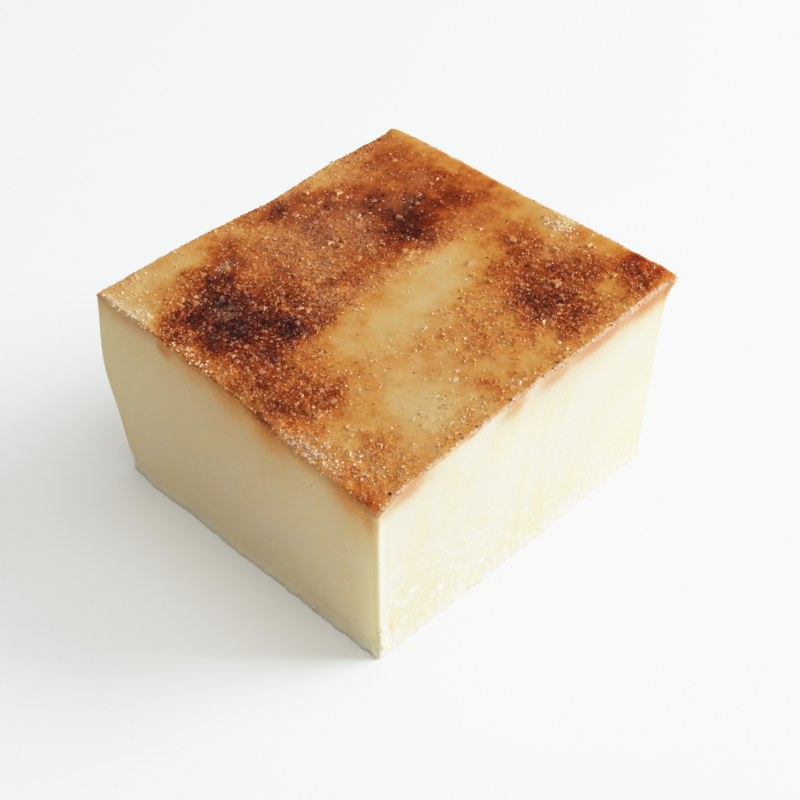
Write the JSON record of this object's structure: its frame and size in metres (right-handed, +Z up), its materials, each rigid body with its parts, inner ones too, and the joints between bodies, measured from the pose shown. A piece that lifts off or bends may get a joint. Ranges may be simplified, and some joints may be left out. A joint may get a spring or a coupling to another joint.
{
  "type": "block of fudge",
  "caption": "Hand-cut squarish block of pale cream fudge with a sloping top of torched, browned sugar, a crumbly foot and a flat underside to stand on.",
  "frame": {"origin": "middle of the footprint, on the underside", "axes": "+Z up, out of the sugared top; +X along the longer side; the lowest corner of the top points to -X -Y"},
  "size_m": [0.0566, 0.0528, 0.0328],
  "materials": {
    "fudge": "smooth, slightly waxy, pale cream with a browned top",
    "sugar": "clear to amber glassy crystals",
    "burnt_sugar": "dark glossy caramel"
  },
  "bodies": {
    "root": {"fudge_block": "fudge"}
  },
  "joints": []
}
